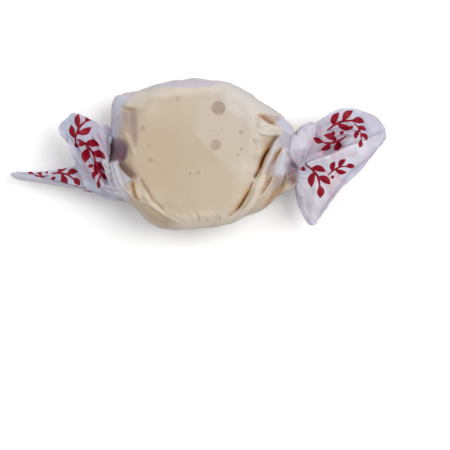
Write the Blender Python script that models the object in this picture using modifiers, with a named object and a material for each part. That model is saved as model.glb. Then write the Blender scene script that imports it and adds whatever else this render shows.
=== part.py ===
"""A piece of taffy in its twisted waxed-paper wrapper, lying on its back with its broad face up.

The taffy is a thick round tablet with shallow bubble pits. The wrapper is one tube of paper drawn tight over
the tablet, gathered to a waist at each side and spread into a crumpled fan beyond each waist.

Sizes are in millimetres, and points are scaled to metres where a mesh is made.
The origin is on the surface that the taffy lies on, under the middle of its face. +X runs along the twist to
the right-hand fan, +Y across the tablet and +Z up out of the broad face.
"""

import math

import bpy
import bmesh
import numpy as np

MM = 0.001

# The tablet of taffy.
TABLET_MIDDLE = (0.3, -0.6)
TABLET_RADIUS = 13.9
TABLET_THICKNESS = 12.8
TABLET_EDGE = 4.2  # how far the rounded edge reaches in from the rim and down from the face
TABLET_SEGMENTS = 48
TABLET_EDGE_STEPS = 6

# Bubble pits in the broad face: (x, y, radius).
PITS = (
    (5.0, 9.2, 1.3),
    (4.6, 1.6, 1.0),
    (-9.6, 4.8, 0.75),
    (-9.0, -1.5, 0.65),
)
PIT_DEPTH_SHARE = 0.45  # depth over radius

# The wrapper over the tablet.
WRAPPER_THICKNESS = 14.0  # from the floor to the broad face
PAPER = 0.2
FACE_BLEND = 0.5  # how softly the flat faces turn into the slopes round them
MIDDLE_BULGE = 10.6  # half height that the slopes would reach over the middle if no face cut them flat
WAIST_HALF_HEIGHT = 2.3
BULGE_FULLNESS = 2.8  # how far out the slopes stay high
BULGE_FALL = 1.2  # how fast they then fall towards the waists
SECTION_POWER = 2.5  # the cross-section over the tablet, from 2 for an ellipse towards a box

# The wrapper's outline seen from above, as (x, y) from the left waist to the right one.
TOP_RAIL = (
    (-17.8, -1.6), (-17.8, 2.6), (-17.6, 6.6), (-17.2, 10.2), (-15.8, 12.5), (-13.2, 13.0), (-11.1, 13.4),
    (-6.9, 14.9), (-0.6, 15.8), (5.4, 15.4), (9.1, 14.5), (13.2, 11.8), (16.2, 9.9), (18.4, 8.5), (20.1, 6.6),
    (21.8, 4.1),
)
BOTTOM_RAIL = (
    (-17.0, -9.7), (-14.2, -10.0), (-11.6, -12.3), (-7.8, -15.5), (-3.4, -16.1), (1.5, -15.8), (6.6, -15.2),
    (10.9, -13.4), (15.3, -11.5), (18.3, -8.8), (21.8, -6.5),
)

# The cut edge of each fan as (x, y, z): the layer that shows from above, then the layer beneath it.
RIGHT_UPPER_RIM = (
    (25.2, 6.8, 7.4), (26.5, 6.3, 8.4), (28.8, 8.5, 8.6), (31.2, 9.5, 8.6), (34.4, 9.4, 9.0),
    (38.0, 8.0, 9.6), (39.7, 6.4, 10.0), (40.3, 4.9, 10.6), (40.4, 3.7, 11.2), (39.9, 2.4, 11.6),
    (38.5, 0.6, 11.6), (35.0, -3.9, 11.0), (30.8, -7.8, 10.2), (27.7, -12.3, 8.6), (25.9, -15.0, 7.4),
    (24.8, -15.3, 7.0),
)
RIGHT_LOWER_RIM = (
    (24.8, -15.3, 7.0), (24.0, -14.4, 6.2), (22.9, -11.3, 5.4), (22.0, -9.2, 5.0), (22.4, -7.6, 4.8),
    (26.6, -7.4, 4.2), (32.4, -4.0, 3.8), (35.6, 0.4, 4.4), (34.6, 4.6, 5.0), (30.0, 6.6, 5.4),
    (25.2, 6.8, 7.4),
)
LEFT_UPPER_RIM = (
    (-17.8, 2.6, 9.4), (-18.1, 4.2, 9.6), (-18.9, 5.4, 9.8), (-20.6, 6.6, 9.9), (-24.6, 8.4, 10.6),
    (-26.8, 7.2, 9.6), (-28.4, 5.7, 8.8), (-28.2, 4.4, 9.0), (-26.9, 4.3, 9.3), (-26.5, 2.9, 9.6),
    (-25.8, 0.4, 9.8), (-24.8, -2.2, 8.6), (-27.2, -2.9, 6.0), (-30.4, -3.4, 5.0), (-34.2, -3.7, 4.4),
    (-38.6, -3.6, 4.0), (-39.7, -4.3, 4.0),
)
LEFT_LOWER_RIM = (
    (-39.7, -4.3, 4.0), (-38.9, -5.0, 3.4), (-36.6, -5.7, 2.8), (-33.2, -6.1, 2.6), (-28.4, -6.1, 3.2),
    (-24.4, -3.0, 4.4), (-21.8, 2.0, 5.8), (-19.0, 5.5, 8.2), (-17.7, 5.7, 8.4), (-17.3, 4.4, 8.8),
    (-17.8, 2.6, 9.4),
)
# How far past a waist the paper still runs straight on, and how else it is led off at the edges of each fan.
FAN_BEND = 2.6
LEFT_TOP_BEND = (2.2, 2.2, 0.5)
LEFT_BOTTOM_BEND = (-1.9, 2.3, 0)
RIGHT_TOP_BEND = (-1.8, 2.2, 0)
RIGHT_BOTTOM_BEND = (-3.2, -3.0, 0)
BEND_SPREAD = 0.12

# The pleats of the waists.
WAIST_REACH = 5.5  # how far the pleats reach to each side of a waist
WAIST_PLEATS = 8
WAIST_PLEAT_DEPTH = 0.4
WAIST_PLEAT_SLANT = 0.03  # turns of slant per millimetre along the twist

# Folds in the upper side: height, width on the left and right of the line as it runs, then its points (x, y).
FOLDS = (
    (-1.3, 3.2, 3.0, ((19.6, 2.8), (16.2, -0.8), (13.8, -5.0), (11.4, -9.4), (7.6, -13.8))),
    (-1.2, 2.4, 3.0, ((-16.6, -1.6), (-14.2, -4.4), (-12.6, -7.6), (-10.4, -11.6))),
)
FOLD_END = 2.0  # how far from its ends a fold fades out

# How finely the wrapper is divided.
LEFT_FAN_RINGS = 10
BODY_RINGS = 38
RIGHT_FAN_RINGS = 10
UPPER_POINTS = 28  # points of a ring over its upper half
LOWER_POINTS = 18
CURVE_STEPS = 10


def curve_through(points, places):
    """Points at the given places, from 0 to 1 by length, on a smooth curve through the given points."""
    known = np.array(points, float)
    padded = np.vstack([2 * known[0] - known[1], known, 2 * known[-1] - known[-2]])
    before, start, end, after = padded[:-3], padded[1:-2], padded[2:-1], padded[3:]
    steps = []
    for step in range(CURVE_STEPS):
        t = step / CURVE_STEPS
        steps.append(
            start + (end - before) * t / 2
            + (2 * before - 5 * start + 4 * end - after) * t**2 / 2
            + (3 * start - before - 3 * end + after) * t**3 / 2
        )
    line = np.vstack([np.stack(steps, axis=1).reshape(-1, known.shape[1]), known[-1:]])
    lengths = np.append(0, np.cumsum(np.linalg.norm(np.diff(line, axis=0), axis=1)))
    wanted = np.asarray(places) * lengths[-1]
    return np.stack([np.interp(wanted, lengths, line[:, k]) for k in range(known.shape[1])], axis=-1)


def lesser(a, b, blend):
    """The lesser of two heights, with a rounded corner between them where they are closer than the blend."""
    overlap = np.clip(blend - np.abs(a - b), 0, None) / blend
    return np.minimum(a, b) - overlap**2 * blend / 4


def smooth_step(value):
    value = np.clip(value, 0, 1)
    return value * value * (3 - 2 * value)


def fold_height(flat):
    """How far the folds raise or sink each point (x, y) of the upper side."""
    total = np.zeros(flat.shape[:-1])
    for height, left_width, right_width, points in FOLDS:
        line = curve_through(points, np.linspace(0, 1, 24))
        start, along = line[:-1], np.diff(line, axis=0)
        offset = flat[..., None, :] - start
        share = np.clip((offset * along).sum(-1) / (along**2).sum(-1), 0, 1)
        away = offset - share[..., None] * along
        distance = np.linalg.norm(away, axis=-1)
        nearest = distance.argmin(-1)[..., None]
        to_left = along[:, 0] * away[..., 1] - along[:, 1] * away[..., 0]
        side = np.take_along_axis(to_left, nearest, -1)[..., 0]
        distance = np.take_along_axis(distance, nearest, -1)[..., 0]
        place = nearest[..., 0] + np.take_along_axis(share, nearest, -1)[..., 0]
        length = np.linalg.norm(along, axis=1).sum()
        from_end = np.minimum(place, len(along) - place) / len(along) * length
        width = np.where(side > 0, left_width, right_width)
        total += height * smooth_step(1 - distance / width) * smooth_step(from_end / FOLD_END)
    return total


def pleats(turns, past_waist):
    """How far the pleats of a waist push each point out, by the turn and by the distance past the waist."""
    phase = (turns + past_waist * WAIST_PLEAT_SLANT) * WAIST_PLEATS
    wave = 4 * np.abs(phase % 1 - 0.5) - 1
    return WAIST_PLEAT_DEPTH * wave * smooth_step(1 - np.abs(past_waist) / WAIST_REACH)


def body_rings(turns):
    """The wrapper over the tablet, as rings of points from the left waist to the right one."""
    places = np.linspace(0, 1, BODY_RINGS)
    top, bottom = curve_through(TOP_RAIL, places), curve_through(BOTTOM_RAIL, places)
    middle, half = (top + bottom) / 2, (top - bottom) / 2
    power = (2 + (SECTION_POWER - 2) * np.sqrt(np.sin(np.pi * places)))[:, None]
    across, lift = np.cos(2 * np.pi * turns), np.sin(2 * np.pi * turns)
    across = np.sign(across) * np.abs(across) ** (2 / power)
    lift = np.sign(lift) * np.abs(lift) ** (2 / power)
    flat = middle[:, None] + half[:, None] * across[..., None]

    left, right = middle[0, 0], middle[-1, 0]
    reach = np.where(flat[..., 0] > 0, right, left)
    share = np.clip(1 - np.clip(flat[..., 0] / reach, 0, 1) ** BULGE_FULLNESS, 0, 1) ** BULGE_FALL
    height = (WAIST_HALF_HEIGHT + (MIDDLE_BULGE - WAIST_HALF_HEIGHT) * share) * lift
    limit = WRAPPER_THICKNESS / 2
    height = np.sign(height) * lesser(np.abs(height), limit, FACE_BLEND)

    height += fold_height(flat) * smooth_step(lift / 0.5)
    rings = np.concatenate([flat, (limit + height)[..., None]], axis=-1)
    for waist, outward in ((0, -1), (-1, 1)):
        past = (rings[..., 0] - middle[waist, 0]) * outward
        push = pleats(turns, np.clip(past, -WAIST_REACH, 0))
        inward = rings - np.append(middle[waist], limit)
        inward[..., 0] = 0
        rings += push[..., None] * inward / np.linalg.norm(inward, axis=-1, keepdims=True)
    return rings


def rim(upper, lower, turns):
    """The cut edge of a fan at each turn: the upper layer for half a turn and the lower one for the rest."""
    return np.where(
        (turns < 0.5)[:, None],
        curve_through(upper, np.clip(turns * 2, 0, 1)),
        curve_through(lower, np.clip(turns * 2 - 1, 0, 1)),
    )


def fan_rings(waist, edge, turns, outward, top_bend, bottom_bend, count):
    """Rings of points from just past the waist to the cut edge."""
    top = smooth_step(1 - np.minimum(turns, 1 - turns) / BEND_SPREAD)[:, None]
    bottom = smooth_step(1 - np.abs(turns - 0.5) / BEND_SPREAD)[:, None]
    bend = waist + np.array([outward * FAN_BEND, 0, 0]) + top * top_bend + bottom * bottom_bend
    t = (np.arange(1, count + 1) / count)[:, None, None]
    return (1 - t) ** 2 * waist + 2 * t * (1 - t) * bend + t**2 * edge


def wrapper_rings():
    """All rings of the wrapper, from the cut edge of the left fan to that of the right one."""
    upper, lower = np.arange(UPPER_POINTS) / UPPER_POINTS, np.arange(LOWER_POINTS) / LOWER_POINTS
    turns = np.append(upper / 2, 0.5 + lower / 2)
    body = body_rings(turns)
    left_edge = rim(LEFT_UPPER_RIM, LEFT_LOWER_RIM, turns)
    left = fan_rings(body[0], left_edge, turns, -1, LEFT_TOP_BEND, LEFT_BOTTOM_BEND, LEFT_FAN_RINGS)
    right_edge = rim(RIGHT_UPPER_RIM, RIGHT_LOWER_RIM, turns)
    right = fan_rings(body[-1], right_edge, turns, 1, RIGHT_TOP_BEND, RIGHT_BOTTOM_BEND, RIGHT_FAN_RINGS)
    return np.concatenate([left[::-1], body, right])


def new_material(name, colour, roughness):
    material = bpy.data.materials.new(name)
    material.use_nodes = True
    surface = material.node_tree.nodes["Principled BSDF"]
    surface.inputs["Base Color"].default_value = (*colour, 1)
    surface.inputs["Roughness"].default_value = roughness
    surface.inputs["Metallic"].default_value = 0
    return material


def new_object(name, mesh, material, collection):
    mesh.materials.append(material)
    made = bpy.data.objects.new(name, mesh)
    collection.objects.link(made)
    return made


def build_wrapper(collection):
    rings = wrapper_rings()
    count, around = rings.shape[:2]
    ring, point = np.meshgrid(np.arange(count - 1), np.arange(around), indexing="ij")
    here, following = ring * around + point, ring * around + (point + 1) % around
    faces = np.stack([here, following, following + around, here + around], axis=-1).reshape(-1, 4)
    mesh = bpy.data.meshes.new("wrapper")
    mesh.from_pydata((rings.reshape(-1, 3) * MM).tolist(), [], faces.tolist())
    mesh.shade_smooth()
    wrapper = new_object("wrapper", mesh, new_material("waxed_paper", (0.62, 0.60, 0.66), 0.45), collection)
    wall = wrapper.modifiers.new("Paper", "SOLIDIFY")
    wall.thickness = PAPER * MM
    wall.offset = -1
    return wrapper


def tablet_profile():
    """The tablet's section as (radius, height) from the middle of the face to the middle of the back."""
    top = TABLET_THICKNESS / 2
    edge = []
    for step in range(TABLET_EDGE_STEPS + 1):
        turn = math.pi / 2 * step / TABLET_EDGE_STEPS
        radius = TABLET_RADIUS - TABLET_EDGE * (1 - math.sin(turn))
        edge.append((radius, top - TABLET_EDGE * (1 - math.cos(turn))))
    return [(0, top)] + edge + [(radius, -height) for radius, height in reversed(edge)] + [(0, -top)]


def build_taffy(collection, cutters):
    mesh = bpy.data.meshes.new("taffy")
    profile = [(radius * MM, 0, height * MM) for radius, height in tablet_profile()]
    mesh.from_pydata(profile, [(step, step + 1) for step in range(len(profile) - 1)], [])
    taffy = new_object("taffy", mesh, new_material("taffy_cream", (0.55, 0.45, 0.34), 0.5), collection)
    taffy.location = (TABLET_MIDDLE[0] * MM, TABLET_MIDDLE[1] * MM, WRAPPER_THICKNESS / 2 * MM)
    turned = taffy.modifiers.new("Turned", "SCREW")
    turned.steps = TABLET_SEGMENTS
    turned.render_steps = TABLET_SEGMENTS
    turned.use_merge_vertices = True
    turned.merge_threshold = 0.00001
    turned.use_smooth_shade = True
    face = (WRAPPER_THICKNESS + TABLET_THICKNESS) / 2
    for number, (x, y, radius) in enumerate(PITS, 1):
        depth = radius * PIT_DEPTH_SHARE
        ball_radius = (radius**2 + depth**2) / (2 * depth)
        pit = bpy.data.meshes.new(f"pit_{number}")
        shape = bmesh.new()
        bmesh.ops.create_icosphere(shape, subdivisions=3, radius=ball_radius * MM)
        shape.to_mesh(pit)
        shape.free()
        ball = bpy.data.objects.new(pit.name, pit)
        ball.location = (x * MM, y * MM, (face - depth + ball_radius) * MM)
        ball.hide_render = True
        ball.display_type = "WIRE"
        cutters.objects.link(ball)
        cut = taffy.modifiers.new(pit.name, "BOOLEAN")
        cut.operation = "DIFFERENCE"
        cut.object = ball
    return taffy


def main():
    for old in list(bpy.data.objects):
        bpy.data.objects.remove(old)
    collection = bpy.data.collections.new("Taffy")
    cutters = bpy.data.collections.new("Cutters")
    for made in (collection, cutters):
        bpy.context.scene.collection.children.link(made)
    build_taffy(collection, cutters)
    build_wrapper(collection)


main()
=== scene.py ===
"""The looks of a piece of taffy in its twisted waxed-paper wrapper.

The wrapper is one fine sheet of paper with its folds, pleats and cut edges, over the tablet of taffy. Lengths
are in millimetres in the row frame, and a mesh's points are scaled to metres. Drawn lines and outlines are
rows of x and y in turn, and z in a rim, in tenths of a millimetre, like their widths, heights and softness.
"""

import math

import bpy
import numpy as np
from mathutils import Matrix, Vector


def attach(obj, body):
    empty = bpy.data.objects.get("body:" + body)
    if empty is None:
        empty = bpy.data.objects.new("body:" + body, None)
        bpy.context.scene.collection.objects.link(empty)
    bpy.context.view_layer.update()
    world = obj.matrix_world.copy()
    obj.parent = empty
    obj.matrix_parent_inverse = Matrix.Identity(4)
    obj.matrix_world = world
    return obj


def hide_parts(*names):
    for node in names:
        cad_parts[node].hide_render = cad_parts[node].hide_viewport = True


MM = 0.001
TENTHS_PER_MM = 10

# The photograph: its width in pixels, the size of a pixel, and the pixel over the frame's origin.
PHOTO_WIDTH = 450
PIXEL_MM = 0.21
ORIGIN_PIXEL = (193, 153)

# The wrapper over the tablet, as the solid has it.
WRAPPER_THICKNESS = 14
HALF_THICKNESS = WRAPPER_THICKNESS / 2
FACE_BLEND = 0.6
MIDDLE_BULGE = 10.6
WAIST_HALF_HEIGHT = 2.3
FULLNESS_LEFT = 2.8
FULLNESS_RIGHT = 2.5
BULGE_FALL = 1.2
SECTION_POWER = 2.5

# The outline of the body from above, and the cut edges of the fans' upper and lower layers.
TOP_RAIL = (-178, -16, -178, 26, -176, 66, -172, 102, -158, 125, -132, 130, -111, 134, -69, 149, -6, 158,
    54, 154, 91, 145, 132, 118, 162, 99, 184, 85, 201, 66, 218, 41)
BOTTOM_RAIL = (-170, -97, -142, -100, -116, -123, -78, -155, -34, -161, 15, -158, 66, -152, 109, -134,
    153, -115, 183, -88, 218, -65)
RIGHT_UPPER_RIM = (252, 68, 74, 265, 63, 84, 288, 85, 86, 312, 95, 86, 344, 94, 90, 380, 80, 96,
    397, 64, 100, 403, 49, 106, 404, 37, 112, 399, 24, 116, 385, 6, 116, 350, -39, 110, 308, -78, 102,
    277, -123, 86, 259, -150, 74, 248, -153, 70)
RIGHT_LOWER_RIM = (248, -153, 70, 240, -144, 62, 229, -113, 54, 220, -92, 50, 224, -76, 48, 266, -74, 42,
    324, -40, 38, 356, 4, 44, 346, 46, 50, 300, 66, 54, 252, 68, 74)
LEFT_UPPER_RIM = (-178, 26, 94, -181, 42, 96, -189, 54, 98, -206, 66, 99, -246, 84, 106, -268, 72, 96,
    -284, 57, 88, -282, 42, 90, -279, 39, 90, -267, 41, 93, -262, 26, 96, -258, 4, 98, -248, -22, 86,
    -272, -29, 60, -304, -34, 50, -342, -37, 44, -386, -36, 40, -397, -43, 40)
LEFT_LOWER_RIM = (-397, -43, 40, -389, -50, 34, -366, -56, 28, -332, -55, 26, -284, -48, 32, -244, -30, 44,
    -218, 20, 58, -190, 55, 82, -177, 57, 84, -173, 44, 88, -178, 26, 94)
# How far past a waist the paper still runs straight on, and how else it is led off at the edges of each fan.
FAN_BEND = 2.6
LEFT_TOP_BEND = (2.2, 2.2, 0.5)
LEFT_BOTTOM_BEND = (-3.2, 3.1, 0)
RIGHT_TOP_BEND = (-1.8, 2.2, 0)
RIGHT_BOTTOM_BEND = (-3.2, -3, 0)
BEND_SPREAD = 0.12
EDGE_TATTER = 0.09

# How finely the sheet and the lines on it are divided.
LEFT_FAN_RINGS = 78
BODY_RINGS = 196
RIGHT_FAN_RINGS = 88
IN_BODY = slice(LEFT_FAN_RINGS, LEFT_FAN_RINGS + BODY_RINGS)
UPPER_POINTS = 190
LOWER_POINTS = 68
CURVE_STEPS = 12
SECTION_SAMPLES = 160
LINE_STEPS = 5
OUTLINE_STEPS = 4
LAYER_STEPS = 30
# How far round lines, outlines and strokes of print points are still looked at.
LINE_REACH = 1
OUTLINE_REACH = 3
STROKE_REACH = 2

# Over how much of a turn, or of the way up a side, the upper side passes into the lower one, how far up and
# down a side the body's walls reach, and over how much of it they end.
FRONT_TURN = 0.02
FRONT_LIFT = 0.45
WALL_LIFT = 0.35
WALL_BLEND = 0.5

# The gathers of the waists: (how many, how deep, how far they reach, how they slant), and how they sway, how
# often, and how that drifts along them.
GATHERS = ((19, 0.45, 6, 0.012), (37, 0.14, 5, -0.02))
GATHER_SWAY = 0.012
GATHER_SWAYS = 2.43
GATHER_DRIFT = 0.5
# How much calmer they are on the upper side, how much further they reach at the back, and over which turns.
UPPER_CALM = 0.8
UPPER_CALM_TURN = 0.08
BACK_REACH = 1.7
BACK_TURN = 0.1
# The deeper tucks among them.
TUCKS = 13
TUCK_DEPTH = 1.6
TUCK_REACH = 3.2
TUCK_WIDTH = 0.16
TUCK_SLANT = 0.01
TUCK_SWAY = 0.01
TUCK_SWAYS = 5

# The pleats that close each waist inside: how many, how deep, how far in they meet, along how wide a line,
# and how unevenly they are spread.
INNER_PLEATS = 15
INNER_PLEAT_DEPTH = 0.7
INNER_DEPTH = 2.4
INNER_LINE = 0.22
INNER_RINGS = 24
INNER_SWAY = 0.2
INNER_SWAYS = 3

# Stretches that several of the lines and outlines below share.
LEAF_EDGE = (405, 46, 389, 39, 368, 29, 346, 20, 321, 11, 300, 0, 279, -8, 256, -15)
LEAF_CREASE = (401, 25, 389, 13, 374, -3, 359, -17, 340, -31, 323, -47, 307, -67, 292, -88, 277, -111,
    265, -132)
FAR_EDGE = (-134, 115, -122, 124, -104, 128, -90, 132, -69, 134, -44, 135, -6, 135, 15, 134, 34, 134,
    48, 138)
FINGER_GLOW = (-145, -17, -132, -21, -120, -31, -109, -48, -120, -52, -132, -40, -145, -29)
RIGHT_WAIST = (189, -46, 193, -40, 199, -61, 221, -69, 237, -69, 237, 69, 216, 90)

# Folds in the upper side: (height, left width, right width, line), where left and right are the line's own.
FOLDS = (
    # the deep crease down the right side of the face
    (-15, 5, 10, (178, 34, 170, 27, 164, 19, 159, 9, 153, -2, 146, -14, 141, -27, 138, -36, 131, -48,
     124, -60)),
    (-8, 3, 5, (126, -57, 122, -69, 117, -83, 110, -94, 103, -105, 94, -117, 84, -127, 69, -138)),
    # the pleats beside it
    (6, 8, 5, (176, 23, 166, 8, 163, -6, 154, -23, 146, -40, 135, -65, 124, -94, 107, -118, 84, -134,
     63, -145)),
    (-9, 6, 4, (189, 15, 183, 6, 174, -4, 167, -17, 162, -31)),
    (-6, 4, 8, (165, -46, 160, -58, 152, -70, 143, -83, 133, -92)),
    (6, 7, 4, (191, 21, 183, 2, 175, -21, 169, -46, 162, -64, 153, -79, 142, -92, 126, -102)),
    (-8, 6, 10, (195, -42, 191, -57, 181, -71, 168, -88, 155, -105)),
    (5, 6, 4, (199, -11, 198, -31, 195, -52, 187, -76)),
    (3, 4, 4, (197, 17, 191, -6, 185, -31, 181, -46)),
    (-3.5, 4, 4, (202, 11, 195, -11, 191, -36)),
    # the pointed tongue above them, with a pocket over it
    (-12, 14, 3.5, (139, 78, 145, 73, 153, 66, 162, 61, 172, 57)),
    (6, 9, 13, (130, 50, 143, 55, 158, 52, 172, 48, 185, 44)),
    (-7, 8, 3.5, (185, 38, 174, 33, 158, 31, 145, 33, 132, 38)),
    (-4, 5, 8, (139, 80, 134, 67, 129, 52)),
    (-3.5, 5, 5, (121, 28, 128, 17, 134, 8)),
    (3, 5, 6, (124, 31, 139, 25, 151, 29)),
    (-3, 5, 5, (155, 29, 145, 19, 141, 6, 139, -6)),
    # the notch in the upper left corner and the band of shade under it
    (-7, 3, 12, (-154, 100, -143, 95, -130, 91, -117, 91)),
    (-3.5, 13, 12, (-130, 90, -128, 67, -124, 42, -120, 8)),
    (4, 9, 5, (-151, 43, -139, 33, -130, 17, -124, 0, -120, -15)),
    (3, 4, 4, (-149, 33, -141, 27, -135, 17, -135, 2, -141, -11)),
    # the crease, the flaps and the rolled finger at the lower left
    (-9, 13, 3, (-154, -13, -152, -27, -141, -39, -130, -49, -122, -58)),
    (4, 5, 4, (-123, -65, -121, -56, -115, -49, -109, -52)),
    (4, 5, 3, (-121, -63, -120, -76, -115, -88, -110, -103)),
    (-7, 3, 11, (-123, -59, -122, -71, -119, -86, -112, -101)),
    (4.5, 6, 3, (-146, -72, -134, -85, -124, -94, -111, -105, -92, -109, -76, -119, -60, -131, -42, -140,
     -21, -151)),
    (5, 7, 8, (-103, -86, -92, -99, -78, -110, -65, -122, -57, -130)),
    (-5.5, 6, 3.5, (-110, -50, -103, -66, -93, -82, -84, -98, -71, -110, -55, -124)),
    # small ones at the bottom and the top
    (-2.5, 4, 4, (0, -122, 8, -128, 13, -138, 9, -150)),
    (-2, 4, 4, (-15, -126, -7, -133, -9, -143)),
    (2, 5, 4, (21, -128, 27, -135, 38, -139)),
    (-2, 4, 5, (-40, -118, -27, -127, -15, -130)),
    (-2.5, 4, 4, (52, 138, 67, 141, 80, 145)),
    # the strips that run down from the pocket into the left waist
    (4, 5, 5, (-168, -15, -162, -40, -149, -69, -137, -90)),
    (-3, 5, 4, (-161, -15, -155, -36, -143, -65, -130, -86)),
    # the puffed collar of the right fan, and the hollow behind it
    (12, 36, 9, (231, 52, 218, 40, 209, 25, 206, 8, 208, -8, 215, -23, 225, -34)),
    (8, 30, 30, (244, 61, 235, 42, 231, 21, 233, 0)),
    (-10, 16, 14, (265, 65, 258, 40, 252, 17, 239, -6, 227, -23)),
    (-4, 5, 6, (250, 61, 256, 44, 265, 21)),
    # its near leaf, whose turned edge lies over the far one
    (13, 50, 5, (*LEAF_EDGE, 229, -27)),
    (3, 12, 12, (342, 15, 344, -6, 334, -31, 317, -57)),
    (-3, 15, 15, (288, -15, 296, -40, 290, -69, 271, -107, 256, -141)),
    (3.5, 18, 15, (262, -48, 258, -78, 252, -115, 248, -145)),
    (-2.5, 10, 12, (235, -69, 237, -99, 244, -128)),
    (-4, 13, 3, LEAF_CREASE),
    # crumples of the far leaf
    (12, 4, 9, (258, 2, 279, 17, 304, 25, 330, 27)),
    (-12, 4, 9, (267, -4, 288, 8, 304, 15, 323, 15)),
    (-10, 6, 8, (290, 21, 300, 31, 317, 36, 336, 34)),
    (6, 9, 5, (271, 61, 296, 69, 321, 69, 344, 57)),
    (-9, 6, 8, (279, 42, 304, 50, 330, 48, 355, 40)),
    (6, 7, 9, (262, 44, 275, 31, 281, 13)),
    (5, 12, 7, (351, 86, 363, 65, 368, 40)),
    (-5, 12, 8, (334, 90, 346, 69, 346, 44)),
    (-2.5, 8, 8, (384, 76, 389, 57, 384, 40)),
    # the crease across the upper leaf of the left fan
    (4.5, 16, 9, (-250, 86, -241, 69, -241, 52, -250, 31, -258, 13)),
    (-3, 6, 8, (-231, 80, -229, 61, -237, 40)),
    # its long strips running into the waist
    (7, 7, 10, (-246, 42, -237, 11, -223, -21, -204, -52, -178, -90)),
    (-6, 5, 6, (-233, 27, -223, 2, -208, -27, -191, -57)),
    (5, 5, 5, (-221, 34, -210, 6, -199, -15)),
    (-6, 4, 5, (-216, 40, -204, 15, -195, -11, -197, -31)),
    (-10, 6, 8, (-199, -11, -195, -31, -187, -50, -176, -71)),
    (6, 5, 4, (-195, -8, -187, -31, -178, -57, -164, -88)),
    (-3.5, 3, 3, (-183, -17, -176, -38, -170, -61, -158, -84)),
    (3.5, 3.5, 3.5, (-174, -15, -170, -38, -162, -65, -151, -86)),
    (3.5, 6, 6, (-202, 46, -189, 25, -181, 0)),
    (-3.5, 7, 5, (-195, 52, -185, 40, -178, 19)),
    # the edge of that leaf over the tail, and the tail folded along its length
    (8, 16, 3.5, (-246, -11, -244, -31, -237, -52, -229, -78)),
    (4, 6, 5, (-330, -49, -304, -54, -279, -60, -254, -65)),
    (-3, 6, 6, (-376, -44, -346, -46, -313, -47, -279, -50, -246, -59)),
)
# How a fold or a streak narrows towards its ends, and over what length it ends.
LINE_END_WIDTH = 0.35
LINE_ROUNDNESS = 0.8
LINE_END = 1.2

# How far the crumples are shifted on the far wall and at the back, so that no two sides are alike.
FAR_WALL_SHIFT = 40
BACK_FAN_SHIFT = 9
BACK_BODY_SHIFT = 5
# How the lengths of facets vary, how their creases sway, and how the patches that they cover are spread.
FACET_SIZES = (0.6, 1.7)
CREASE_SWAY = 0.13
CREASE_SWAYS = 2.3
PATCH_WAVES = 3.1
PATCH_COVER = 0.45
PATCH_CONTRAST = 0.8
# How quickly the fans' crumples start past a waist, and where the body's start round its smooth face.
CRUMPLE_START = 4
FACE_RADIUS = 10
FACE_EDGE = 3

# The puffed collar, whose paper is pulled smooth: how little of the gathers is left on it, and its outline.
COLLAR_GATHERS = 0.15
COLLAR = (216, 52, 231, 65, 248, 69, 262, 63, 258, 40, 252, 17, 239, -4, 225, -23, 208, -11, 202, 8, 204, 29)

# The hollow between the left fan and the upper left corner: its outline, its depth and how little of that
# there is at its top, how soft its edge is, how quickly it stops on the fan, and between which places in y it
# deepens and its painted shade darkens.
POCKET = (-199, 40, -178, 42, -160, 35, -148, 31, -138, 24, -131, 15, -131, 1, -135, -12, -143, -23,
    -150, -23, -160, -19, -170, -21, -199, -21)
POCKET_DEPTH = 2.2
POCKET_LEAST = 0.3
POCKET_SOFTNESS = 1.3
POCKET_SPREAD = 0.1
POCKET_STOP = 12
POCKET_SHADE_FROM = 4.2
POCKET_SHADE_TO = 0.2

# Where the upper side changes colour: (strength in percent, softness of the outline, outline). Bare paper
# stands clear of the taffy, clear paper only just touches it, and the other names are painted glow, shade and
# highlight on both.
PATCHES = {}
# Where the paper stands clear of the taffy: the far side, the upper left corner and both waists.
PATCHES["bare"] = (
    (80, 7, (-141, 128, -120, 127, -104, 128, -90, 131, -69, 133, -44, 133, -6, 132, 15, 132, 34, 134,
     46, 139, 61, 144, 82, 148, 99, 144, 99, 174, -27, 183, -111, 174, -153, 153, -166, 137)),
    (100, 20, (-183, 27, -178, 69, -174, 115, -166, 141, -137, 145, -118, 130, -128, 119, -138, 108,
     -148, 100, -148, 90, -147, 76, -149, 61, -152, 48, -155, 36, -155, 23, -162, 11)),
    (65, 10, (189, 103, 183, 84, 182, 73, 172, 66, 178, 55, 187, 48, 185, 40, 172, 27, 166, 15, 162, 2,
     153, -15, 145, -36, 145, -42, 162, -46, *RIGHT_WAIST)),
    (100, 15, (189, 103, 183, 84, 182, 73, 174, 66, 183, 55, 191, 46, 191, 27, 187, 6, 181, -15, 174, -36,
     172, -46, *RIGHT_WAIST)),
    (100, 10, (-195, -11, -166, -15, -154, -13, -152, -27, -141, -39, -130, -49, -124, -57, -130, -59,
     -145, -73, -134, -86, -141, -107, -195, -107)),
)
# Where it only just touches: the slope at the upper right, the tongue beside it and the far edge.
PATCHES["clear"] = (
    (100, 15, (48, 137, 65, 146, 90, 145, 120, 128, 153, 107, 189, 90, 181, 76, 145, 83, 132, 69, 126, 46,
     109, 62, 86, 80, 65, 93, 56, 118)),
    (80, 9, (132, 50, 145, 64, 162, 59, 176, 51, 187, 44, 178, 38, 162, 34, 143, 34, 126, 27)),
    (50, 10, (122, 25, 145, 29, 153, 29, 145, 17, 132, 11)),
    (62, 18, (*FAR_EDGE, 59, 121, 49, 120, 15, 118, -21, 115, -69, 113, -111, 110, -130, 107)),
)
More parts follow.
